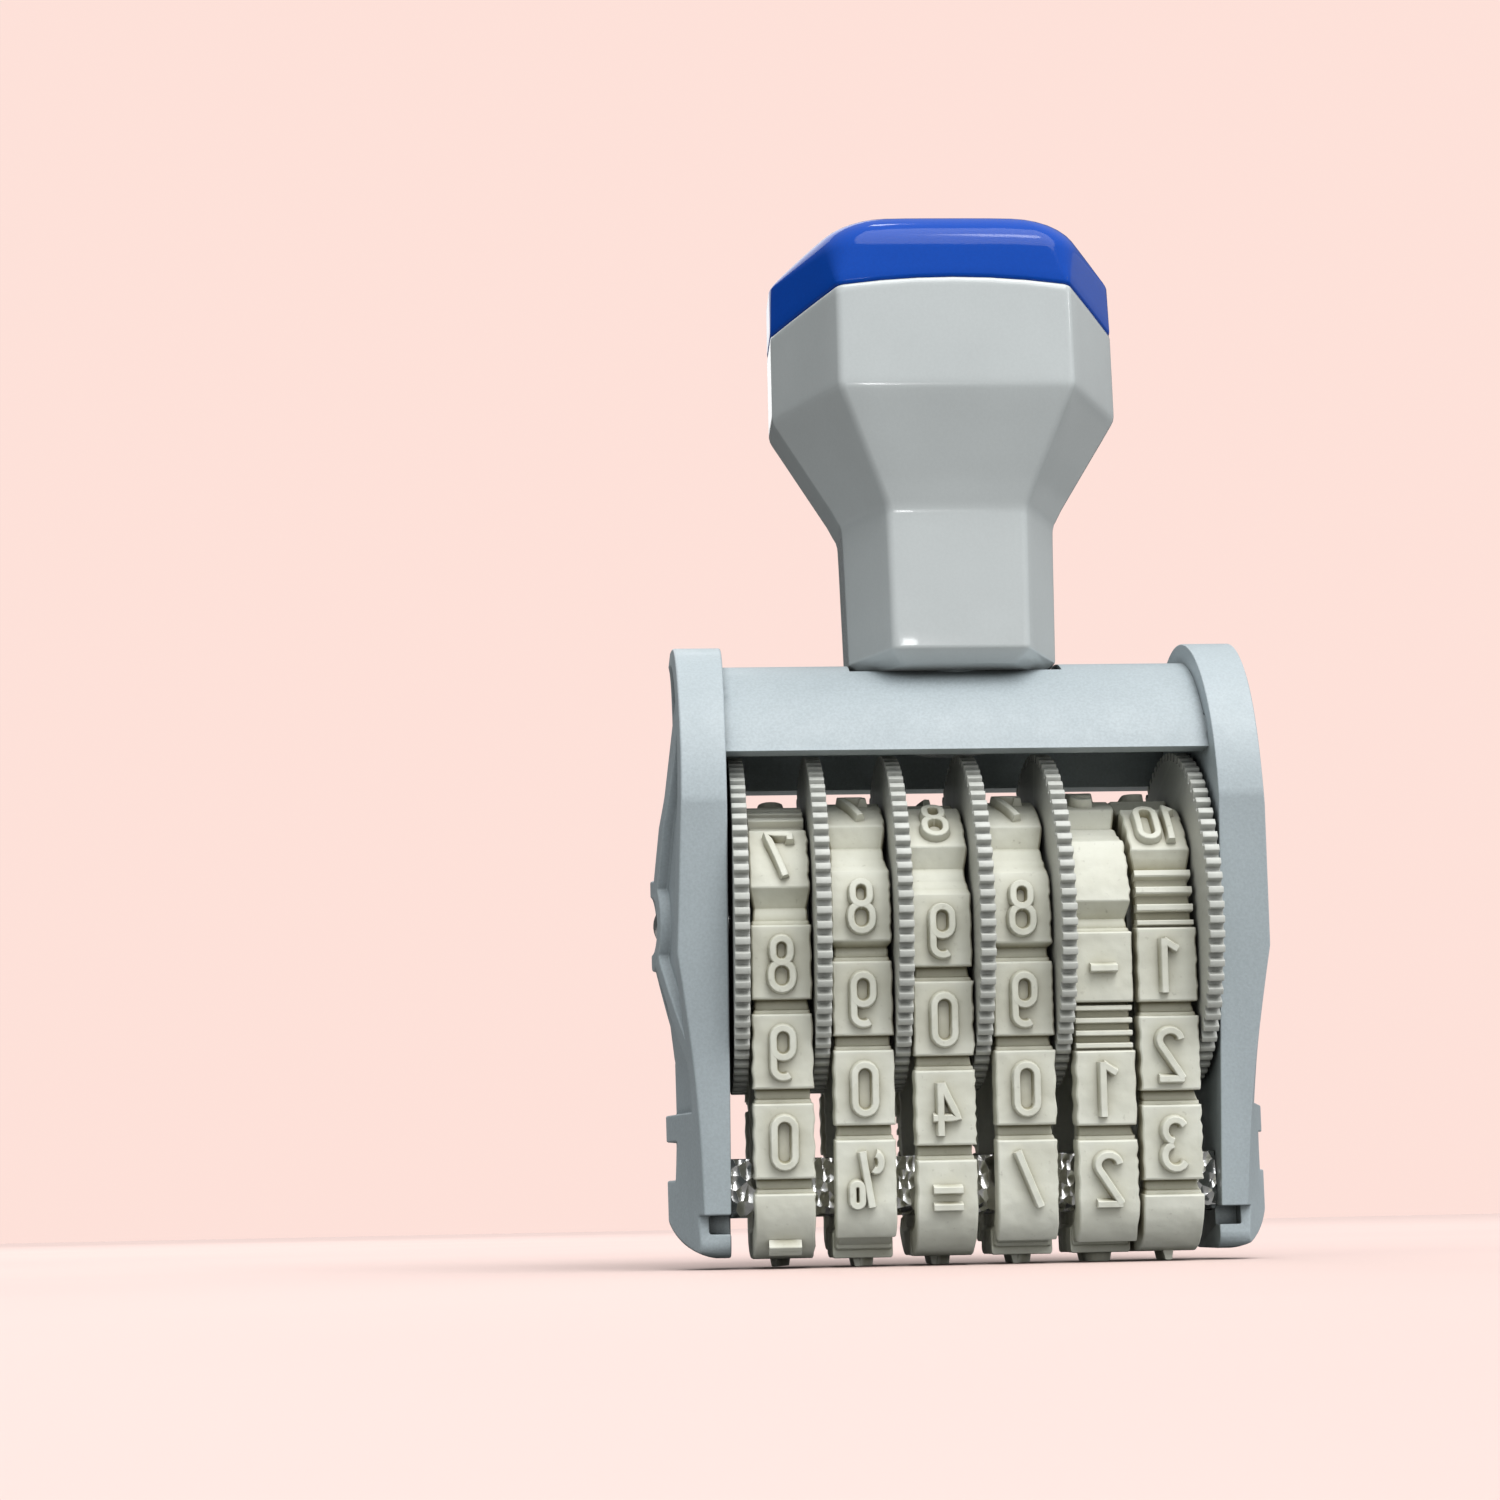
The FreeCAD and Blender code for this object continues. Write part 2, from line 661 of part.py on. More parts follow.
def handle_screw():
    """Slotted pan-head screw that pulls the handle down on the bridge."""
    head = Part.makeCylinder(
        SCREW_HEAD_RADIUS,
        SCREW_HEAD_HEIGHT,
        Vector(0, 0, screw_boss_bottom - SCREW_HEAD_HEIGHT),
    )
    shank = Part.makeCylinder(SCREW_RADIUS, screw_length, Vector(0, 0, screw_boss_bottom))
    slot = Part.makeBox(
        2 * SCREW_HEAD_RADIUS,
        SCREW_SLOT_WIDTH,
        SCREW_SLOT_DEPTH,
        Vector(-SCREW_HEAD_RADIUS, -SCREW_SLOT_WIDTH / 2, screw_boss_bottom - SCREW_HEAD_HEIGHT),
    )
    return head.fuse(shank).removeSplitter().cut(slot)


# Handle and its cap


def eight_sides(section, inset):
    """Corners of an eight-sided section, brought in square to its sides by inset."""
    half_width, front_half, half_depth, side_half = section
    run = half_width - front_half
    fall = half_depth - side_half
    slant = math.hypot(run, fall)
    front_in = inset * (slant - run) / fall
    side_in = inset * (slant - fall) / run
    front = front_half - front_in
    side = side_half - side_in
    x, y = half_width - inset, half_depth - inset
    return [
        (-front, -y),
        (front, -y),
        (x, -side),
        (x, side),
        (front, y),
        (-front, y),
        (-x, side),
        (-x, -side),
    ]


def section_wire(section, inset, height, rounding=RIDGE_ROUNDING):
    """Eight-sided section with rounded ridges at one height."""
    corners = [Vector(x, y, height) for x, y in eight_sides(section, inset)]
    edges = []
    count = len(corners)
    starts, ends = [], []
    for i, corner in enumerate(corners):
        back = (corners[i - 1] - corner).normalize()
        on = (corners[(i + 1) % count] - corner).normalize()
        half_angle = back.getAngle(on) / 2
        trim = rounding / math.tan(half_angle)
        bisector = (back + on).normalize()
        centre = corner + bisector * (rounding / math.sin(half_angle))
        middle = centre - bisector * rounding
        start, end = corner + back * trim, corner + on * trim
        edges.append(Part.Arc(start, middle, end).toShape())
        starts.append(start)
        ends.append(end)
    sides = []
    for i in range(count):
        sides.append(edges[i])
        sides.append(Part.LineSegment(ends[i], starts[(i + 1) % count]).toShape())
    return Part.Wire(sides)


def seam_cylinder():
    """Everything under the arched seam between handle and cap."""
    depth = 4 * HEAD_SECTION[2]
    foot = Vector(0, -depth / 2, seam_height - SEAM_ARCH_RADIUS)
    return Part.makeCylinder(SEAM_ARCH_RADIUS, depth, foot, Vector(0, 1, 0))


def handle_body():
    """Neck, taper and head in one moulding, with a screw hole and a socket for the cap."""
    sections = [
        section_wire(NECK_FOOT_SECTION, FOOT_BEVEL, seat_height),
        section_wire(NECK_FOOT_SECTION, 0.0, seat_height + FOOT_BEVEL_HEIGHT),
        section_wire(NECK_TOP_SECTION, 0.0, neck_top),
        section_wire(HEAD_SECTION, EDGE_EASE / 2, head_edge - EDGE_EASE),
        section_wire(HEAD_SECTION, 0.0, head_edge + EDGE_EASE),
        section_wire(HEAD_SECTION, 0.0, seam_height + OVERRUN),
    ]
    body = Part.makeLoft(sections, True, True).common(seam_cylinder())
    hole_radius = SCREW_RADIUS + SCREW_CLEARANCE
    hole_length = SCREW_GRIP + OVERRUN
    hole = Part.makeCylinder(hole_radius, hole_length, Vector(0, 0, seat_height))
    socket_radius = SPIGOT_RADIUS + SPIGOT_CLEARANCE
    socket_depth = SPIGOT_LENGTH + SPIGOT_CLEARANCE
    socket = Part.makeCylinder(socket_radius, socket_depth + OVERRUN, Vector(0, 0, seam_height - socket_depth))
    return body.cut(hole).cut(socket)


def crown_cylinder():
    """Everything under the cap's crown, which falls away to both sides."""
    depth = 4 * HEAD_SECTION[2]
    foot = Vector(0, -depth / 2, cap_top - CAP_CROWN_RADIUS)
    return Part.makeCylinder(CAP_CROWN_RADIUS, depth, foot, Vector(0, 1, 0))


def handle_cap():
    """Crowned cap with rounded shoulders, plugged into the head by a round spigot."""
    rise = cap_top - cap_wall_top
    sections = [section_wire(HEAD_SECTION, 0.0, head_edge)]
    for step in range(CAP_ROUND_STEPS + 1):
        share = step / CAP_ROUND_STEPS
        turn = share * math.pi / 2
        inset = CAP_TOP_INSET * (1 - math.cos(turn))
        rounding = RIDGE_ROUNDING + (CAP_TOP_ROUNDING - RIDGE_ROUNDING) * share
        height = cap_wall_top + rise * math.sin(turn)
        sections.append(section_wire(HEAD_SECTION, inset, height, rounding))
    crown = Part.makeLoft(sections, True, True).cut(seam_cylinder()).common(crown_cylinder())
    spigot = Part.makeCylinder(SPIGOT_RADIUS, SPIGOT_LENGTH + OVERRUN, Vector(0, 0, seam_height - SPIGOT_LENGTH))
    return crown.fuse(spigot).removeSplitter()


def build():
    """All pieces by name."""
    right = right_plate()
    middle_plane = Vector(1, 0, 0)
    pieces = {
        "left_side_plate": right.mirror(Vector(0, 0, 0), middle_plane),
        "right_side_plate": right,
        "top_bridge": top_bridge(),
        "axle": axle(),
        "print_bar": print_bar(),
        "handle_body": handle_body(),
        "handle_cap": handle_cap(),
        "handle_screw": handle_screw(),
    }
    for index in range(BAND_COUNT):
        pieces["type_band_%d" % (index + 1)] = type_band(index)
        pieces["thumbwheel_%d" % (index + 1)] = thumbwheel(index)
    return pieces


os.makedirs("parts", exist_ok=True)
for name, shape in build().items():
    shape.exportStep("parts/" + name + ".step")
    print(name, len(shape.Solids), round(shape.Volume, 2), shape.isValid())
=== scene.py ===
import bisect
import math
import random

import bmesh
import bpy
from mathutils import Matrix, Vector


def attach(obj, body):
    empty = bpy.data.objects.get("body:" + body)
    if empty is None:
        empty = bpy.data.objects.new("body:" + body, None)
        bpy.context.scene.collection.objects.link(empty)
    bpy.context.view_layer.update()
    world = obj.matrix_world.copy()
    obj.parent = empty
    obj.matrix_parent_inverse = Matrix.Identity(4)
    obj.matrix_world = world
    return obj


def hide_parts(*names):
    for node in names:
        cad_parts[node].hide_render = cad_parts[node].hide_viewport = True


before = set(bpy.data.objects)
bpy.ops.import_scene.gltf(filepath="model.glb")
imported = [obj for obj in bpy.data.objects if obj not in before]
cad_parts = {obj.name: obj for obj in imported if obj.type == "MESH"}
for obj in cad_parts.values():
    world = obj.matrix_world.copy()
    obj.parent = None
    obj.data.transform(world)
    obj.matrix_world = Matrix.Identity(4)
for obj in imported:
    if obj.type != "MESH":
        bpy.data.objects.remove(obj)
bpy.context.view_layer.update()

MM = 0.001

# Sizes of the solids, in millimetres
AXLE_HEIGHT = 31.0
DRUM_RADIUS = 7.35
RIM_THICKNESS = 1.35
BAND_SLOT = 5.75
BAND_SIDE_GAP = 0.17
STRIP_SIDE_STEP = 0.35
STRIP_THICKNESS = 1.9
BLOCK_THICKNESS = 3.6
TYPE_RELIEF = 0.8
BLOCKS_PER_BAND = 11
BAR_HALF_DEPTH = 5.0
BAR_BEND_RADIUS = 1.6
STACK_HALF = 21.3


# Materials


def new_material(name):
    material = bpy.data.materials.new(name)
    material.use_nodes = True
    nodes = material.node_tree.nodes
    links = material.node_tree.links
    shader = nodes["Principled BSDF"]
    return material, nodes, links, shader


def coordinates(nodes, links, scale=(1.0, 1.0, 1.0)):
    """Object coordinates in metres, stretched by scale."""
    source = nodes.new("ShaderNodeTexCoord")
    mapping = nodes.new("ShaderNodeMapping")
    mapping.inputs["Scale"].default_value = scale
    links.new(source.outputs["Object"], mapping.inputs["Vector"])
    return mapping.outputs["Vector"]


def noise(nodes, links, vector, scale, detail=3.0, roughness=0.5):
    texture = nodes.new("ShaderNodeTexNoise")
    texture.inputs["Scale"].default_value = scale
    texture.inputs["Detail"].default_value = detail
    texture.inputs["Roughness"].default_value = roughness
    links.new(vector, texture.inputs["Vector"])
    return texture.outputs["Fac"]


def ramp(nodes, links, value, stops):
    node = nodes.new("ShaderNodeValToRGB")
    elements = node.color_ramp.elements
    while len(elements) < len(stops):
        elements.new(0.5)
    for element, (place, colour) in zip(elements, stops):
        element.position = place
        element.color = (*colour, 1.0)
    links.new(value, node.inputs["Fac"])
    return node.outputs["Color"]


def levels(nodes, links, value, low, high, to_low, to_high):
    node = nodes.new("ShaderNodeMapRange")
    node.inputs["From Min"].default_value = low
    node.inputs["From Max"].default_value = high
    node.inputs["To Min"].default_value = to_low
    node.inputs["To Max"].default_value = to_high
    links.new(value, node.inputs["Value"])
    return node.outputs["Result"]


def bump(nodes, links, height, strength, distance, after=None):
    node = nodes.new("ShaderNodeBump")
    node.inputs["Strength"].default_value = strength
    node.inputs["Distance"].default_value = distance
    links.new(height, node.inputs["Height"])
    if after is not None:
        links.new(after, node.inputs["Normal"])
    return node.outputs["Normal"]


def mix(nodes, links, factor, a, b, mode="MIX"):
    node = nodes.new("ShaderNodeMix")
    node.data_type = "RGBA"
    node.blend_type = mode
    if isinstance(factor, float):
        node.inputs["Factor"].default_value = factor
    else:
        links.new(factor, node.inputs["Factor"])
    for socket, value in ((node.inputs[6], a), (node.inputs[7], b)):
        if isinstance(value, tuple):
            socket.default_value = (*value, 1.0)
        else:
            links.new(value, socket)
    return node.outputs[2]


def corner_grime_and_shade(nodes, links, colour, distance, low, high, depth, grime_and_shade_colour):
    """Darkens a colour in inner corners by their occlusion: ink and dust that stay there, and painted
    shade.
    """
    corner = nodes.new("ShaderNodeAmbientOcclusion")
    corner.samples = 6
    corner.inputs["Distance"].default_value = distance * MM
    held = levels(nodes, links, corner.outputs["AO"], low, high, depth, 0.0)
    return mix(nodes, links, held, colour, grime_and_shade_colour)


def plastic(
    name,
    colour,
    roughness,
    speckle,
    grain,
    grain_height,
    coat=0.0,
    dust_and_shade=0.0,
    shine=0.5,
    edge_highlight=0.0,
    deep_shade=0.0,
):
    """Moulded plastic: fine speckle, slow colour drift, dust and painted shade in corners, painted
    near-black shade deep in hollows, painted highlights on convex edges, grain.
    """
    material, nodes, links, shader = new_material(name)
    vector = coordinates(nodes, links)
    drift = noise(nodes, links, vector, 90.0, 3.0)
    spots = noise(nodes, links, vector, 4200.0, 2.0, 0.6)
    darker = tuple(c * (1.0 - speckle) for c in colour)
    lighter = tuple(min(1.0, c * (1.0 + speckle)) for c in colour)
    speckled = ramp(nodes, links, spots, [(0.36, darker), (0.5, colour), (0.64, lighter)])
    slow = ramp(nodes, links, drift, [(0.3, (0.93, 0.93, 0.93)), (0.7, (1.0, 1.0, 1.0))])
    toned = mix(nodes, links, 1.0, speckled, slow, "MULTIPLY")
    # Dust and painted shade in inner corners, darker where they are occluded
    if dust_and_shade > 0.0:
        toned = corner_grime_and_shade(nodes, links, toned, 0.8, 0.4, 0.97, dust_and_shade, tuple(c * 0.3 for c in colour))
    # Painted shade, near black, deep in hollows and under overhangs
    if deep_shade > 0.0:
        toned = corner_grime_and_shade(nodes, links, toned, 9.0, 0.05, 0.42, deep_shade, (0.02, 0.02, 0.018))
    # Painted highlight: convex edges lighter
    if edge_highlight > 0.0:
        geometry = nodes.new("ShaderNodeNewGeometry")
        painted_highlight_mask = levels(nodes, links, geometry.outputs["Pointiness"], 0.512, 0.575, 0.0, edge_highlight)
        toned = mix(nodes, links, painted_highlight_mask, toned, tuple(min(1.0, c * 1.5) for c in colour))
    links.new(toned, shader.inputs["Base Color"])
    patches = noise(nodes, links, vector, 420.0, 3.0)
    rough = levels(nodes, links, patches, 0.3, 0.7, roughness * 0.85, roughness * 1.15)
    links.new(rough, shader.inputs["Roughness"])
    if coat > 0.0:
        shader.inputs["Coat Weight"].default_value = coat
        shader.inputs["Coat Roughness"].default_value = 0.05
    shader.inputs["IOR"].default_value = 1.49
    shader.inputs["Specular IOR Level"].default_value = shine
    fine = noise(nodes, links, vector, grain, 3.0, 0.6)
    normal = bump(nodes, links, fine, 0.5, grain_height)
    links.new(normal, shader.inputs["Normal"])
    return material


def rubber_material():
    """Cream rubber with cloudy patches, ink grime and painted shade in its corners, painted highlights
    on its edges, and a dry surface.
    """
    material, nodes, links, shader = new_material("type_rubber")
    vector = coordinates(nodes, links)
    clouds = noise(nodes, links, vector, 170.0, 4.0, 0.6)
    base = ramp(
        nodes,
        links,
        clouds,
        [(0.28, (0.54, 0.525, 0.42)), (0.5, (0.65, 0.645, 0.54)), (0.75, (0.76, 0.76, 0.665))],
    )
    specks = noise(nodes, links, vector, 1900.0, 2.0, 0.7)
    grime = levels(nodes, links, specks, 0.64, 0.76, 0.0, 0.5)
    toned = mix(nodes, links, grime, base, (0.27, 0.25, 0.17))
    # Ink grime and painted shade in inner corners: wide and brown, then narrow and dark
    toned = corner_grime_and_shade(nodes, links, toned, 1.3, 0.42, 0.97, 0.85, (0.25, 0.22, 0.125))
    toned = corner_grime_and_shade(nodes, links, toned, 0.4, 0.4, 0.8, 0.7, (0.12, 0.10, 0.055))
    # Painted highlight: convex edges of blocks and strokes lighter
    geometry = nodes.new("ShaderNodeNewGeometry")
    painted_highlight_mask = levels(nodes, links, geometry.outputs["Pointiness"], 0.51, 0.58, 0.0, 0.55)
    toned = mix(nodes, links, painted_highlight_mask, toned, (0.86, 0.855, 0.77))
    links.new(toned, shader.inputs["Base Color"])
    rough = levels(nodes, links, clouds, 0.3, 0.7, 0.48, 0.62)
    links.new(rough, shader.inputs["Roughness"])
    shader.inputs["IOR"].default_value = 1.42
    fine = noise(nodes, links, vector, 1500.0, 3.0, 0.6)
    slow = noise(nodes, links, vector, 300.0, 2.0)
    first = bump(nodes, links, slow, 0.8, 0.0004)
    links.new(bump(nodes, links, fine, 0.4, 0.00005, first), shader.inputs["Normal"])
    return material


def steel_material(name, crumple):
    """Polished steel with fine scratches, and crumple as the depth share of its bends."""
    material, nodes, links, shader = new_material(name)
    vector = coordinates(nodes, links)
    along = coordinates(nodes, links, (1.0, 9.0, 9.0))
    tone = noise(nodes, links, vector, 300.0, 3.0)
    colour = ramp(nodes, links, tone, [(0.3, (0.60, 0.59, 0.58)), (0.7, (0.80, 0.80, 0.79))])
    links.new(colour, shader.inputs["Base Color"])
    shader.inputs["Metallic"].default_value = 1.0
    scratch = noise(nodes, links, along, 900.0, 4.0, 0.7)
    rough = levels(nodes, links, scratch, 0.35, 0.7, 0.10, 0.26)
    links.new(rough, shader.inputs["Roughness"])
    normal = bump(nodes, links, scratch, 0.15, 0.00004)
    if crumple > 0.0:
        folds = nodes.new("ShaderNodeTexVoronoi")
        folds.inputs["Scale"].default_value = 900.0
        links.new(vector, folds.inputs["Vector"])
        normal = bump(nodes, links, folds.outputs["Distance"], crumple, 0.0007, normal)
    links.new(normal, shader.inputs["Normal"])
    return material


# Frame and wheels get dust and painted shade in corners, painted deep shade in hollows and painted
# edge highlights; the handle gets painted edge highlights
FRAME = plastic(
    "frame_plastic",
    (0.43, 0.485, 0.51),
    roughness=0.46,
    speckle=0.06,
    grain=3200.0,
    grain_height=0.00003,
    dust_and_shade=0.6,
    edge_highlight=0.25,
    deep_shade=0.9,
)
WHEEL = plastic(
    "wheel_plastic",
    (0.52, 0.525, 0.485),
    roughness=0.38,
    speckle=0.04,
    grain=1500.0,
    grain_height=0.00004,
    dust_and_shade=0.55,
    edge_highlight=0.3,
    deep_shade=0.7,
)
HANDLE = plastic(
    "handle_plastic",
    (0.545, 0.575, 0.575),
    roughness=0.16,
    speckle=0.015,
    grain=500.0,
    grain_height=0.000012,
    coat=0.5,
    edge_highlight=0.7,
)
CAP = plastic(
    "cap_plastic",
    (0.0004, 0.068, 0.46),
    roughness=0.10,
    speckle=0.03,
    grain=400.0,
    grain_height=0.000012,
    coat=0.15,
    shine=0.12,
)
RUBBER = rubber_material()
STEEL = steel_material("polished_steel", 0.0)
CRUMPLED = steel_material("crumpled_steel", 1.0)


# Helpers for pieces


def finish_piece(mesh_maker, name, material, node, smooth_angle):
    """Makes an object from bmesh data, gives it its finish and lets it stand for a node."""
    mesh = bpy.data.meshes.new(name)
    mesh_maker.to_mesh(mesh)
    mesh_maker.free()
    piece = bpy.data.objects.new(name, mesh)
    bpy.context.scene.collection.objects.link(piece)
    mesh.materials.append(material)
    shade_smooth(mesh)
    mesh.set_sharp_from_angle(angle=math.radians(smooth_angle))
    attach(piece, "frame")
    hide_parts(node)


def shade_smooth(mesh):
    for polygon in mesh.polygons:
        polygon.use_smooth = True


def apply_modifiers(piece):
    depsgraph = bpy.context.evaluated_depsgraph_get()
    mesh = bpy.data.meshes.new_from_object(piece.evaluated_get(depsgraph))
    old = piece.data
    piece.modifiers.clear()
    piece.data = mesh
    bpy.data.meshes.remove(old)


WELD_DISTANCE = 0.000002
FLAT_ANGLE = 0.6
EASED_ANGLE = 28.0
NORMAL_WEIGHT = 60


def eased_copy(node, name, material, body, width):
    """A node's own shape with its sharp edges eased, standing for that node."""
    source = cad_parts[node]
    maker = bmesh.new()
    maker.from_mesh(source.data)
    bmesh.ops.remove_doubles(maker, verts=maker.verts, dist=WELD_DISTANCE)
    bmesh.ops.dissolve_limit(
        maker,
        angle_limit=math.radians(FLAT_ANGLE),
        verts=maker.verts,
        edges=maker.edges,
        delimit=set(),
    )
    mesh = bpy.data.meshes.new(name)
    maker.to_mesh(mesh)
    maker.free()
    piece = bpy.data.objects.new(name, mesh)
    bpy.context.scene.collection.objects.link(piece)
    mesh.materials.append(material)
    shade_smooth(mesh)
    bevel = piece.modifiers.new("ease", "BEVEL")
    bevel.width = width * MM
    bevel.segments = 2
    bevel.limit_method = "ANGLE"
    bevel.angle_limit = math.radians(EASED_ANGLE)
    bevel.miter_outer = "MITER_ARC"
    weigh = piece.modifiers.new("weigh", "WEIGHTED_NORMAL")
    weigh.keep_sharp = True
    weigh.weight = NORMAL_WEIGHT
    apply_modifiers(piece)
    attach(piece, body)
    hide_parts(node)


# Type bands

DRUM_GAP = 0.1
BAR_GAP = 0.05
LOOP_RADIUS = DRUM_RADIUS + DRUM_GAP
LOOP_BOTTOM = TYPE_RELIEF + BLOCK_THICKNESS
BAND_WIDTH = BAND_SLOT - 2 * BAND_SIDE_GAP
STRIP_WIDTH = BAND_WIDTH - 2 * STRIP_SIDE_STEP


def loop_stretches():
    """Lines and arcs of the band's inner face, from the bottom centre up the front."""
    corner = BAR_BEND_RADIUS
    reach = BAR_HALF_DEPTH + BAR_GAP - corner
    low = LOOP_BOTTOM + corner
    rise = AXLE_HEIGHT - low
    spread = math.hypot(reach, rise)
    lean = math.asin((LOOP_RADIUS - corner) / spread) - math.atan2(reach, rise)
    run = math.sqrt(spread**2 - (LOOP_RADIUS - corner) ** 2)
    left = math.pi + lean
    turn = math.pi / 2 - lean
    stretches = []

    def line(a, normal, length):
        stretches.append(("line", a, normal, length))

    def arc(centre, radius, start, sweep):
        stretches.append(("arc", centre, radius, start, sweep, radius * sweep))

    def on(centre, radius, angle):
        return (centre[0] + radius * math.cos(angle), centre[1] + radius * math.sin(angle))

    line((0.0, LOOP_BOTTOM), -math.pi / 2, reach)
    arc((-reach, low), corner, 3 * math.pi / 2, turn)
    line(on((-reach, low), corner, left), left, run)
    arc((0.0, AXLE_HEIGHT), LOOP_RADIUS, left, math.pi + 2 * lean)
    line(on((0.0, AXLE_HEIGHT), LOOP_RADIUS, -lean), -lean, run)
    arc((reach, low), corner, -lean, turn)
    line((reach, LOOP_BOTTOM), -math.pi / 2, reach)
    return stretches


STRETCHES = loop_stretches()
LOOP_LENGTH = sum(stretch[-1] for stretch in STRETCHES)
BLOCK_PITCH = LOOP_LENGTH / BLOCKS_PER_BAND


def stretch_at(distance):
    """The stretch of the loop at a distance, and how far along it that is."""
    left_over = distance % LOOP_LENGTH
    place = 0
    while place < len(STRETCHES) - 1 and left_over > STRETCHES[place][-1]:
        left_over -= STRETCHES[place][-1]
        place += 1
    return STRETCHES[place], left_over


def loop_point(distance, offset):
    """Depth and height of a point at a distance along the loop, offset outwards."""
    stretch, along = stretch_at(distance)
    if stretch[0] == "line":
        _, (y, z), normal, _ = stretch
        y += along * math.sin(normal) + offset * math.cos(normal)
        z += -along * math.cos(normal) + offset * math.sin(normal)
        return y, z
    _, (y, z), radius, start, _, _ = stretch
    angle = start - along / radius
    reach = radius + offset
    return y + reach * math.cos(angle), z + reach * math.sin(angle)


TABLE_STEP = 0.05


def length_table(offset, smallest):
    """Lengths along an offset loop, where only arcs over a radius count as longer."""
    lengths = [0.0]
    for step in range(math.ceil(LOOP_LENGTH / TABLE_STEP) + 1):
        stretch, _ = stretch_at((step + 0.5) * TABLE_STEP)
        longer = 1.0
        if stretch[0] == "arc" and stretch[2] > smallest:
            longer += offset / stretch[2]
        lengths.append(lengths[-1] + longer * TABLE_STEP)
    return lengths


TYPE_LENGTHS = length_table(BLOCK_THICKNESS + TYPE_RELIEF, 0.0)
BLOCK_LENGTHS = length_table(BLOCK_THICKNESS, LOOP_RADIUS / 2)


def moved_on(lengths, distance, reach):
    """Distance along the loop of a point that lies reach further on by a table's lengths."""
    turn = math.floor(distance / LOOP_LENGTH)
    place = (distance - turn * LOOP_LENGTH) / TABLE_STEP
    low = int(place)
    aim = lengths[low] + (place - low) * (lengths[low + 1] - lengths[low]) + reach
    whole = lengths[round(LOOP_LENGTH / TABLE_STEP)]
    while aim < 0.0:
        aim += whole
        turn -= 1
    while aim > whole:
        aim -= whole
        turn += 1
    high = max(1, bisect.bisect_left(lengths, aim))
    share = (aim - lengths[high - 1]) / (lengths[high] - lengths[high - 1])
    return turn * LOOP_LENGTH + (high - 1 + share) * TABLE_STEP


def band_point(centre, across, distance, offset):
    y, z = loop_point(distance, offset)
    return Vector(((centre + across) * MM, y * MM, z * MM))


def bowl(x, y, rx, ry, start, end, steps):
    """Part of an ellipse, in turns counted anticlockwise from the right."""
    points = []
    for step in range(steps + 1):
        angle = 2 * math.pi * (start + (end - start) * step / steps)
        points.append((x + rx * math.cos(angle), y + ry * math.sin(angle)))
    return points


def slot_loop(x, y, rx, ry):
    """Upright closed loop with straight sides and round ends."""
    top = bowl(x, y + ry - rx, rx, rx, 0.0, 0.5, 8)
    foot = bowl(x, y - ry + rx, rx, rx, 0.5, 1.0, 8)
    return top + foot + top[:1]


# Raised marks as strokes in a box one high, x from the left, y from the foot, not mirrored
MARKS = {
    "0": [slot_loop(0.21, 0.5, 0.19, 0.44)],
    "1": [[(0.30, 0.0), (0.30, 1.0)], [(0.30, 0.96), (0.05, 0.80)]],
    "2": [
        bowl(0.24, 0.76, 0.20, 0.18, 0.48, -0.08, 12) + [(0.02, 0.06)],
        [(0.0, 0.05), (0.46, 0.05)],
    ],
    "3": [
        bowl(0.20, 0.74, 0.19, 0.20, 0.42, -0.22, 10),
        bowl(0.20, 0.27, 0.21, 0.22, 0.22, -0.42, 10),
    ],
    "4": [[(0.33, 0.02), (0.33, 0.98)], [(0.31, 0.96), (0.01, 0.34), (0.47, 0.34)]],
    "5": [[(0.42, 0.95), (0.06, 0.95), (0.04, 0.58)] + bowl(0.20, 0.30, 0.21, 0.26, 0.35, -0.42, 12)],
    "6": [
        slot_loop(0.22, 0.30, 0.19, 0.25),
        [(0.03, 0.32), (0.05, 0.72)] + bowl(0.22, 0.76, 0.17, 0.19, 0.48, 0.1, 8),
    ],
    "7": [[(0.0, 0.95), (0.44, 0.95), (0.12, 0.0)], [(0.0, 0.95), (0.0, 0.80)]],
    "8": [slot_loop(0.22, 0.735, 0.16, 0.22), slot_loop(0.22, 0.27, 0.20, 0.25)],
    "9": [
        slot_loop(0.22, 0.68, 0.18, 0.27),
        [(0.40, 0.68), (0.40, 0.26)] + bowl(0.22, 0.22, 0.18, 0.17, 0.0, -0.36, 8),
    ],
    "-": [[(0.02, 0.5), (0.52, 0.5)]],
    "=": [[(0.0, 0.67), (0.54, 0.67)], [(0.0, 0.36), (0.54, 0.36)]],
    "_": [[(0.0, 0.56), (0.60, 0.56)], [(0.0, 0.44), (0.60, 0.44)]],
    "/": [[(0.02, 0.0), (0.42, 1.0)]],
    "%": [
        [(0.18, 0.0), (0.34, 1.0)],
        bowl(0.09, 0.80, 0.09, 0.15, 0.25, 0.85, 8),
        slot_loop(0.44, 0.22, 0.09, 0.20),
    ],
    "10": [[(0.12, 0.0), (0.12, 1.0), (0.0, 0.82)], slot_loop(0.52, 0.5, 0.17, 0.44)],
    "'": [[(0.2, 0.0), (0.2, 0.85)]],
    " ": [],
}
MARK_HEIGHT = 4.75
STROKE_TOP = 0.29
STROKE_FOOT = 0.46
STROKE_STEP = 0.7
PLAIN_SPAN = 0.44
MARK_SPANS = {"10": 0.72, "=": 0.54, "-": 0.54, "_": 0.60, "%": 0.53, "0": 0.42}


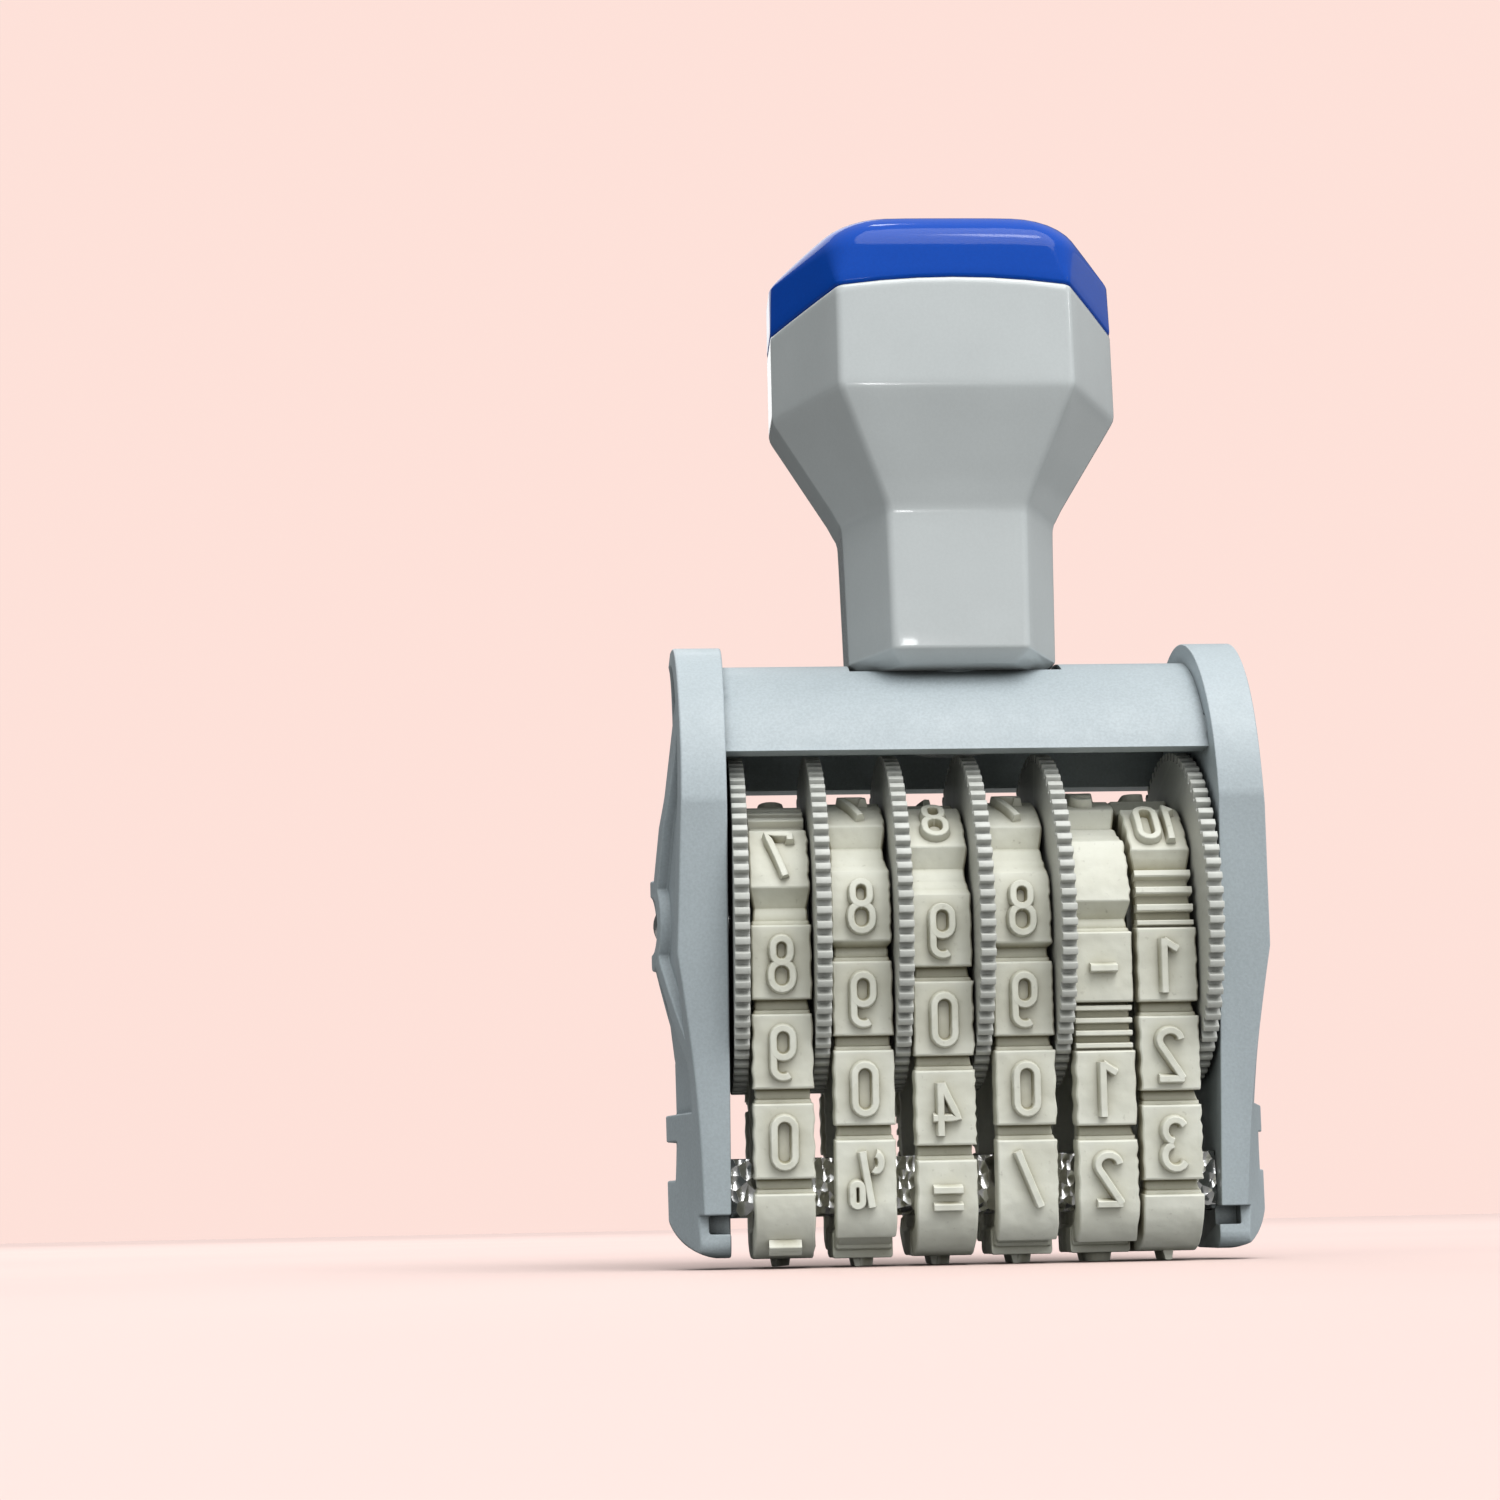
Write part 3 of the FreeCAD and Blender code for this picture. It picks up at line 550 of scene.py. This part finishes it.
def add_stroke(maker, centre, middle, points, span, relief, base):
    """Raised stroke with sloping sides, mirrored for printing."""
    width = span * MARK_HEIGHT
    placed = []
    for x, y in points:
        placed.append((width / 2 - x * MARK_HEIGHT, (y - 0.5) * MARK_HEIGHT))
    dense = [placed[0]]
    for a, b in zip(placed, placed[1:]):
        parts = max(1, math.ceil(math.dist(a, b) / STROKE_STEP))
        for part in range(1, parts + 1):
            dense.append((a[0] + (b[0] - a[0]) * part / parts, a[1] + (b[1] - a[1]) * part / parts))
    closed = math.dist(dense[0], dense[-1]) < 0.001
    if closed:
        dense = dense[:-1]
    count = len(dense)
    rings = []
    for i, (u, s) in enumerate(dense):
        if closed:
            before, after = dense[i - 1], dense[(i + 1) % count]
        else:
            before, after = dense[max(i - 1, 0)], dense[min(i + 1, count - 1)]
        du, ds = after[0] - before[0], after[1] - before[1]
        long = math.hypot(du, ds) or 1.0
        nu, ns = -ds / long, du / long
        ring = []
        for side, depth in (
            (STROKE_FOOT, base - 0.05),
            (STROKE_FOOT * 0.9, base + relief * 0.2),
            (STROKE_TOP, relief + base - 0.06),
            (STROKE_TOP - 0.07, relief + base),
            (-STROKE_TOP + 0.07, relief + base),
            (-STROKE_TOP, relief + base - 0.06),
            (-STROKE_FOOT * 0.9, base + relief * 0.2),
            (-STROKE_FOOT, base - 0.05),
        ):
            place = moved_on(TYPE_LENGTHS, middle, s + ns * side)
            point = band_point(centre, u + nu * side, place, depth)
            ring.append(maker.verts.new(point))
        rings.append(ring)
    pairs = list(zip(rings, rings[1:]))
    if closed:
        pairs.append((rings[-1], rings[0]))
    for a, b in pairs:
        for k in range(len(a) - 1):
            maker.faces.new((a[k], a[k + 1], b[k + 1], b[k]))
    if not closed:
        for ring, sign in ((rings[0], -1), (rings[-1], 1)):
            cap_end(maker, ring, sign)


def cap_end(maker, ring, sign):
    order = ring if sign < 0 else list(reversed(ring))
    maker.faces.new(order)


# Height of the band's face along one block, as shares of the pitch from its foot
BLOCK_PROFILE = (
    (0.000, 0.12),
    (0.070, 0.0),
    (0.078, 0.78),
    (0.088, 0.95),
    (0.105, 1.0),
    (0.30, 0.975),
    (0.55, 0.965),
    (0.80, 0.975),
    (0.895, 1.0),
    (0.912, 0.94),
    (0.920, 0.45),
    (0.955, 0.36),
    (0.965, 0.16),
    (1.000, 0.12),
)
BLOCK_MIDDLE = 0.485


def band_section(offset, wide, narrow, share):
    """Across and offset of the band's section, round from one inner corner to the other."""
    half = narrow + (wide - narrow) * min(1.0, share * 1.4)
    return (
        (-narrow / 2, 0.0),
        (-narrow / 2, STRIP_THICKNESS * 0.55),
        (-half / 2, STRIP_THICKNESS * 0.75),
        (-half / 2, offset - 0.28),
        (-half / 2 + 0.05, offset - 0.10),
        (-half / 2 + 0.17, offset),
        (half / 2 - 0.17, offset),
        (half / 2 - 0.05, offset - 0.10),
        (half / 2, offset - 0.28),
        (half / 2, STRIP_THICKNESS * 0.75),
        (narrow / 2, STRIP_THICKNESS * 0.55),
        (narrow / 2, 0.0),
    )


SEAM_LENGTH = 3.0
SEAM_RIBS = 4
FIRST_SEED = 40
WOBBLE = 0.07
RING_STEP = 0.5
NECK_OF_BAND = 0.5
STROKE_SINK = 0.02


def block_feet(start, seam):
    """Where each block's foot lies along the loop, with room for the ribbed seam after one."""
    before = seam + 1
    after = BLOCKS_PER_BAND - before
    pitch = (after * BLOCK_PITCH - SEAM_LENGTH) / after
    feet = [start + block * BLOCK_PITCH for block in range(before + 1)]
    feet[before] += SEAM_LENGTH
    for _ in range(after):
        feet.append(feet[-1] + pitch)
    return feet


def band_mesh(index, centre, phase, marks, seam, shifts):
    """One endless band: neck, block and mark in turn, with a ribbed seam after one block."""
    random.seed(FIRST_SEED + index)
    maker = bmesh.new()
    rings = []
    feet = block_feet((phase - 0.5) * BLOCK_PITCH, seam)
    low = STRIP_THICKNESS + NECK_OF_BAND
    for block in range(BLOCKS_PER_BAND):
        wobble = [random.uniform(-WOBBLE, WOBBLE) for _ in range(4)]
        foot = feet[block]
        pitch = min(feet[block + 1] - foot, BLOCK_PITCH)
        middle = foot + BLOCK_MIDDLE * pitch
        stops = []
        for (a, ha), (b, hb) in zip(BLOCK_PROFILE, BLOCK_PROFILE[1:]):
            parts = max(1, math.ceil((b - a) * pitch / RING_STEP))
            for part in range(parts):
                share = part / parts
                stops.append((a + (b - a) * share, ha + (hb - ha) * share))
        for place, height in stops:
            offset = low + (BLOCK_THICKNESS - low) * height + wobble[3] * 0.5 * height
            side = wobble[0] * math.sin(place * 19.0) + wobble[1] * math.sin(place * 43.0 + block)
            section = band_section(offset, BAND_WIDTH - 0.08, STRIP_WIDTH, height)
            reach = (place - BLOCK_MIDDLE) * pitch
            base = middle + reach
            face = moved_on(BLOCK_LENGTHS, middle, reach)
            distance = base + (face - base) * min(1.0, height * 1.2)
            ring = []
            for across, depth in section:
                lean = side if across > 0 else wobble[2] * math.sin(place * 23.0 + 1.0)
                ring.append(maker.verts.new(band_point(centre, across + lean, distance, depth)))
            rings.append(ring)
    for i, ring in enumerate(rings):
        after = rings[(i + 1) % len(rings)]
        count = len(ring)
        for k in range(count):
            maker.faces.new((ring[k], after[k], after[(k + 1) % count], ring[(k + 1) % count]))
    for block, mark in enumerate(marks):
        foot = feet[block]
        pitch = min(feet[block + 1] - foot, BLOCK_PITCH)
        middle = moved_on(TYPE_LENGTHS, foot + BLOCK_MIDDLE * pitch, shifts.get(block, 0.0))
        span = MARK_SPANS.get(mark, PLAIN_SPAN)
        for order, stroke in enumerate(MARKS[mark]):
            relief = TYPE_RELIEF - STROKE_SINK - 0.015 * order
            add_stroke(maker, centre, middle, stroke, span, relief, BLOCK_THICKNESS - STROKE_SINK)
    seam_start = feet[seam] + 0.9 * BLOCK_PITCH
    seam_room = feet[seam + 1] + 0.08 * BLOCK_PITCH - seam_start
    for rib in range(SEAM_RIBS):
        add_rib(maker, centre, seam_start + seam_room * (rib + 0.5) / SEAM_RIBS)
    bmesh.ops.recalc_face_normals(maker, faces=maker.faces)
    return maker


RIB_TOP = BLOCK_THICKNESS - 0.25
RIB_PROFILE = (
    (-0.30, STRIP_THICKNESS),
    (-0.22, RIB_TOP - 0.1),
    (-0.14, RIB_TOP),
    (0.14, RIB_TOP),
    (0.22, RIB_TOP - 0.1),
    (0.30, STRIP_THICKNESS),
)


def add_rib(maker, centre, distance):
    """Low rib across the band."""
    half = BAND_WIDTH / 2 - 0.2
    rings = []
    for across in (-half, half):
        ring = []
        for step, depth in RIB_PROFILE:
            ring.append(maker.verts.new(band_point(centre, across, distance + step, depth)))
        rings.append(ring)
    a, b = rings
    for k in range(len(a) - 1):
        maker.faces.new((a[k], a[k + 1], b[k + 1], b[k]))
    maker.faces.new(a)
    maker.faces.new(list(reversed(b)))


# Phase, marks from the bottom block up the front, block under the seam, moves of marks
BANDS = (
    (0.45, ("_", "0", "9", "8", "7", "6", "5", "4", "3", "2", "1"), 4, {0: 4.3}),
    (0.03, ("1", "%", "0", "9", "8", "7", "6", "5", "4", "3", "2"), 8, {}),
    (-0.21, ("1", "=", "4", "0", "9", "8", "7", "6", "5", "3", "2"), 9, {}),
    (0.0, ("1", "/", "0", "9", "8", "7", "6", "5", "4", "3", "2"), 7, {}),
    (-0.02, ("3", "2", "1", "-", " ", "9", "8", "7", "6", "5", "4"), 2, {}),
    (0.36, ("'", "3", "2", "1", "10", "9", "8", "7", "6", "5", "4"), 3, {}),
)


def slot_centre(index):
    """Middle of a band's slot across the stack of wheels."""
    if index == len(BANDS) - 1:
        return STACK_HALF - RIM_THICKNESS - BAND_SLOT / 2
    return -STACK_HALF + index * (RIM_THICKNESS + BAND_SLOT) + RIM_THICKNESS + BAND_SLOT / 2


for index, (phase, marks, seam, shifts) in enumerate(BANDS):
    node = "type_band_%d" % (index + 1)
    made = band_mesh(index, slot_centre(index), phase, marks, seam, shifts)
    finish_piece(made, "rubber_band_%d" % (index + 1), RUBBER, node, 24.0)


# Thumbwheels, frame, axle and bar

for index in range(len(BANDS)):
    eased_copy(
        "thumbwheel_%d" % (index + 1),
        "wheel_shape_%d" % (index + 1),
        WHEEL,
        "wheel_%d" % (index + 1),
        0.08,
    )

eased_copy("left_side_plate", "left_plate_shape", FRAME, "frame", 0.3)
eased_copy("right_side_plate", "right_plate_shape", FRAME, "frame", 0.3)
eased_copy("top_bridge", "bridge_shape", FRAME, "frame", 0.25)
eased_copy("print_bar", "bar_shape", CRUMPLED, "frame", 0.1)


def dress(node, material):
    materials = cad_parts[node].data.materials
    materials.clear()
    materials.append(material)


dress("axle", STEEL)
dress("handle_screw", STEEL)


# Handle and cap

NECK_FOOT = (9.7, 6.15, 9.6, 2.9)
NECK_TOP = (10.0, 6.35, 9.9, 2.9)
HEAD = (16.4, 10.7, 13.4, 3.0)
NECK_FOOT_HEIGHT = 54.9
NECK_TOP_HEIGHT = 68.3
TAPER_RISE = 10.4
SEAM_HEIGHT = 89.1
SEAM_ARCH = 71.6
EDGE_ROUNDING = 0.9
CORNER_STEPS = 6
SIDE_STEPS = 6


def section_points(section, inset, rounding):
    """Eight-sided ring with rounded corners, anticlockwise seen from above."""
    half_width, front_half, half_depth, side_half = section
    run, fall = half_width - front_half, half_depth - side_half
    slant = math.hypot(run, fall)
    front = front_half - inset * (slant - run) / fall
    side = side_half - inset * (slant - fall) / run
    x, y = half_width - inset, half_depth - inset
    corners = [
        (-front, -y), (front, -y), (x, -side), (x, side),
        (front, y), (-front, y), (-x, side), (-x, -side),
    ]
    corners = [Vector(corner) for corner in corners]
    arcs = []
    for i, corner in enumerate(corners):
        back = (corners[i - 1] - corner).normalized()
        on = (corners[(i + 1) % 8] - corner).normalized()
        half_angle = back.angle(on) / 2
        centre = corner + (back + on).normalized() * rounding / math.sin(half_angle)
        start = corner + back * rounding / math.tan(half_angle) - centre
        end = corner + on * rounding / math.tan(half_angle) - centre
        sweep = start.angle(end)
        sign = 1.0 if start.x * end.y - start.y * end.x > 0 else -1.0
        arc = []
        for step in range(CORNER_STEPS + 1):
            turn = Matrix.Rotation(sign * sweep * step / CORNER_STEPS, 2)
            arc.append(centre + turn @ start)
        arcs.append(arc)
    ring = []
    for i, arc in enumerate(arcs):
        ring.extend(arc)
        on = arcs[(i + 1) % 8][0]
        for step in range(1, SIDE_STEPS):
            ring.append(arc[-1].lerp(on, step / SIDE_STEPS))
    return ring


def between(a, b, share):
    """A section that lies a share of the way from one to another."""
    return tuple(p + (q - p) * share for p, q in zip(a, b))


def seam_drop(x):
    """How far the arched seam under the cap lies below its middle."""
    return SEAM_ARCH - math.sqrt(SEAM_ARCH**2 - x**2)


def ring_loft(rows):
    """Closed skin over rings, each given by its points and a height or a function of the point."""
    maker = bmesh.new()
    rings = []
    for points, height in rows:
        ring = []
        for point in points:
            z = height(point) if callable(height) else height
            ring.append(maker.verts.new((point[0] * MM, point[1] * MM, z * MM)))
        rings.append(ring)
    for a, b in zip(rings, rings[1:]):
        count = len(a)
        for k in range(count):
            maker.faces.new((a[k], a[(k + 1) % count], b[(k + 1) % count], b[k]))
    maker.faces.new(list(reversed(rings[0])))
    maker.faces.new(rings[-1])
    return maker


def handle_mesh():
    """Neck, taper and head with softened turns between them."""
    rows = []

    def add(section, height, inset=0.0):
        rows.append((section_points(section, inset, EDGE_ROUNDING), height))

    # Bevel under the neck, then the neck
    for inset, height in ((1.5, 53.8), (0.12, 54.82), (0.03, 54.95), (0.0, 55.15)):
        add(NECK_FOOT, height, inset)
    for step in range(1, 6):
        add(between(NECK_FOOT, NECK_TOP, step / 6), NECK_FOOT_HEIGHT + 13.0 * step / 6)
    # Soft turn from the neck to the taper, a little outside the straight faces
    for height, out in ((67.4, 0.0), (67.8, 0.03), (68.1, 0.10), (68.4, 0.12), (68.7, 0.12)):
        share = (height - NECK_TOP_HEIGHT) / TAPER_RISE
        add(between(NECK_TOP, HEAD, max(share, 0.0)), height, -out)
    for step in range(1, 8):
        share = 0.04 + 0.90 * step / 8
        add(between(NECK_TOP, HEAD, share), NECK_TOP_HEIGHT + TAPER_RISE * share)
    # Soft turn from the taper to the head, then the head up to its arched seam
    for share, height in ((0.955, 78.22), (0.985, 78.6), (0.998, 79.0), (1.0, 79.5)):
        add(between(NECK_TOP, HEAD, share), height)
    for height in (81.5, 83.5, 85.5):
        add(HEAD, height)
    for inset, under in ((0.0, 0.9), (0.0, 0.35), (0.05, 0.12), (0.16, 0.03), (0.35, 0.0), (3.0, 0.0)):
        add(HEAD, lambda point, under=under: SEAM_HEIGHT - seam_drop(point[0]) - under, inset)
    return ring_loft(rows)


CAP_FOOT_RISE = 0.4
CAP_WALL_TOP = 91.9
CAP_TOP = 95.97
CAP_INSET = 3.4
CAP_SIDE_DROP = 3.0
CAP_CORNER = 6.0
CAP_WALL_CORNER_SHARE = 0.55
CAP_STEPS = 22


def crown(x):
    """Height of the cap's top, lower towards its sides."""
    return CAP_TOP - CAP_SIDE_DROP * (abs(x) / HEAD[0]) ** 4


def cap_wall(x, share):
    """Height on the cap's wall, from its arched foot to its level top."""
    foot = SEAM_HEIGHT - seam_drop(x) + CAP_FOOT_RISE
    return foot + (CAP_WALL_TOP - foot) * share


def cap_mesh():
    """Cap with an arched lower edge, upright walls and a crowned, well rounded top."""
    rows = []

    def add(inset, rounding, height):
        rows.append((section_points(HEAD, inset, rounding), height))

    # Under the cap and round its lower edge
    for inset, over in ((3.0, 0.02), (0.35, 0.02), (0.14, 0.05), (0.04, 0.16), (0.0, CAP_FOOT_RISE)):
        add(inset, EDGE_ROUNDING, lambda point, over=over: SEAM_HEIGHT - seam_drop(point[0]) + over)
    # Walls, whose corners grow rounder with height
    wall_corner = CAP_CORNER * CAP_WALL_CORNER_SHARE
    for share in (0.25, 0.5, 0.75):
        corner = EDGE_ROUNDING + (wall_corner - EDGE_ROUNDING) * share
        add(0.0, corner, lambda point, share=share: cap_wall(point[0], share))
    # Quarter turn from the walls to the top
    for step in range(CAP_STEPS + 1):
        turn = step / CAP_STEPS * math.pi / 2
        rise = math.sin(turn)
        corner = wall_corner + (CAP_CORNER - wall_corner) * rise
        add(
            CAP_INSET * (1 - math.cos(turn)),
            corner,
            lambda point, rise=rise: CAP_WALL_TOP + (crown(point[0]) - CAP_WALL_TOP) * rise,
        )
    # Crowned top, closed by its last ring
    for inset in (5.0, 6.2, 7.6, 9.0):
        corner = CAP_CORNER * (1.0 - (inset - CAP_INSET) / HEAD[2] * 1.5)
        add(inset, corner, lambda point: crown(point[0]))
    return ring_loft(rows)


finish_piece(handle_mesh(), "handle_shape", HANDLE, "handle_body", 60.0)
finish_piece(cap_mesh(), "cap_shape", CAP, "handle_cap", 60.0)


# Floor, light and camera

FLOOR_HALF = 1.6
FLOOR_SEEN = ((0.83, 0.63, 0.585), (0.865, 0.66, 0.61))
FLOOR_AS_LIGHT = (0.20, 0.195, 0.19)
WALL_TINT = (0.99, 0.755, 0.695)
GLOW_TINT = (0.96, 0.99, 1.0)
GLOW_DIRECTION = (0.18, -0.50, 0.85)


def floor():
    """Pale pink table to the camera, neutral as light."""
    maker = bmesh.new()
    bmesh.ops.create_grid(maker, x_segments=8, y_segments=8, size=FLOOR_HALF)
    mesh = bpy.data.meshes.new("floor")
    maker.to_mesh(mesh)
    maker.free()
    piece = bpy.data.objects.new("floor", mesh)
    bpy.context.scene.collection.objects.link(piece)
    material, nodes, links, shader = new_material("table")
    vector = coordinates(nodes, links)
    clouds = noise(nodes, links, vector, 8.0)
    shade = ramp(nodes, links, clouds, [(0.3, FLOOR_SEEN[0]), (0.7, FLOOR_SEEN[1])])
    path = nodes.new("ShaderNodeLightPath")
    seen = mix(nodes, links, path.outputs["Is Camera Ray"], FLOOR_AS_LIGHT, shade)
    links.new(seen, shader.inputs["Base Color"])
    shader.inputs["Roughness"].default_value = 0.7
    mesh.materials.append(material)


def area_light(name, place, target, size, power):
    data = bpy.data.lights.new(name, "AREA")
    data.energy = power
    data.size = size
    light = bpy.data.objects.new(name, data)
    light.location = place
    direction = Vector(target) - Vector(place)
    light.rotation_euler = direction.to_track_quat("-Z", "Y").to_euler()
    bpy.context.scene.collection.objects.link(light)


def studio_world():
    """Pale pink surroundings, with a broad soft glow from above and in front as their light."""
    world = bpy.data.worlds.new("studio")
    bpy.context.scene.world = world
    world.use_nodes = True
    nodes = world.node_tree.nodes
    links = world.node_tree.links
    seen = nodes["Background"]
    seen.inputs["Color"].default_value = (*WALL_TINT, 1.0)
    seen.inputs["Strength"].default_value = 1.0
    lighting = nodes.new("ShaderNodeBackground")
    lighting.inputs["Color"].default_value = (*GLOW_TINT, 1.0)
    place = nodes.new("ShaderNodeTexCoord")
    facing = nodes.new("ShaderNodeVectorMath")
    facing.operation = "DOT_PRODUCT"
    facing.inputs[1].default_value = GLOW_DIRECTION
    links.new(place.outputs["Generated"], facing.inputs[0])
    glow = levels(nodes, links, facing.outputs["Value"], 0.0, 1.0, 0.09, 1.25)
    links.new(glow, lighting.inputs["Strength"])
    path = nodes.new("ShaderNodeLightPath")
    choice = nodes.new("ShaderNodeMixShader")
    links.new(path.outputs["Is Camera Ray"], choice.inputs["Fac"])
    links.new(lighting.outputs["Background"], choice.inputs[1])
    links.new(seen.outputs["Background"], choice.inputs[2])
    links.new(choice.outputs["Shader"], nodes["World Output"].inputs["Surface"])


def sun_light(name, direction, strength, angle):
    data = bpy.data.lights.new(name, "SUN")
    data.energy = strength
    data.angle = math.radians(angle)
    light = bpy.data.objects.new(name, data)
    light.rotation_euler = Vector(direction).to_track_quat("Z", "Y").to_euler()
    bpy.context.scene.collection.objects.link(light)


floor()
studio_world()
bpy.context.scene.view_settings.view_transform = "Standard"
sun_light("key", (0.22, -0.58, 0.78), 1.75, 45.0)
area_light("window", (0.16, -0.50, 0.75), (0.0, 0.0, 0.08), 0.10, 0.45)
area_light("side", (0.42, 0.30, 0.18), (0.0, 0.0, 0.06), 0.30, 0.055)
area_light("back", (-0.22, 0.62, 0.55), (0.0, 0.0, 0.05), 0.50, 1.0)
for place in ((0.04, -0.70, 0.10), (0.60, -0.30, 0.36), (0.03, 0.04, 0.75)):
    area_light("glint", place, (0.0, 0.0, 0.08), 0.05, 0.12)


CAMERA_PLACE = (-0.0291, -0.2205, 0.004)
CAMERA_YAW = 0.0459
CAMERA_PITCH = 0.1946
CAMERA_ROLL = 0.020
CAMERA_LENS = 57.6


def camera():
    """Pinhole camera close over the table, looking up along the stamp."""
    yaw, pitch, roll = CAMERA_YAW, CAMERA_PITCH, CAMERA_ROLL
    level = math.cos(pitch)
    forward = Vector((math.sin(yaw) * level, math.cos(yaw) * level, math.sin(pitch)))
    right = Vector((math.cos(yaw), -math.sin(yaw), 0.0))
    down = forward.cross(right)
    right, down = (
        math.cos(roll) * right + math.sin(roll) * down,
        -math.sin(roll) * right + math.cos(roll) * down,
    )
    data = bpy.data.cameras.new("camera")
    data.sensor_width = 36.0
    data.sensor_fit = "HORIZONTAL"
    data.lens = CAMERA_LENS
    data.clip_start = 0.005
    data.clip_end = 20.0
    view = bpy.data.objects.new("camera", data)
    turn = Matrix((right, -down, -forward)).transposed()
    view.matrix_world = Matrix.Translation(CAMERA_PLACE) @ turn.to_4x4()
    bpy.context.scene.collection.objects.link(view)
    bpy.context.scene.camera = view


camera()
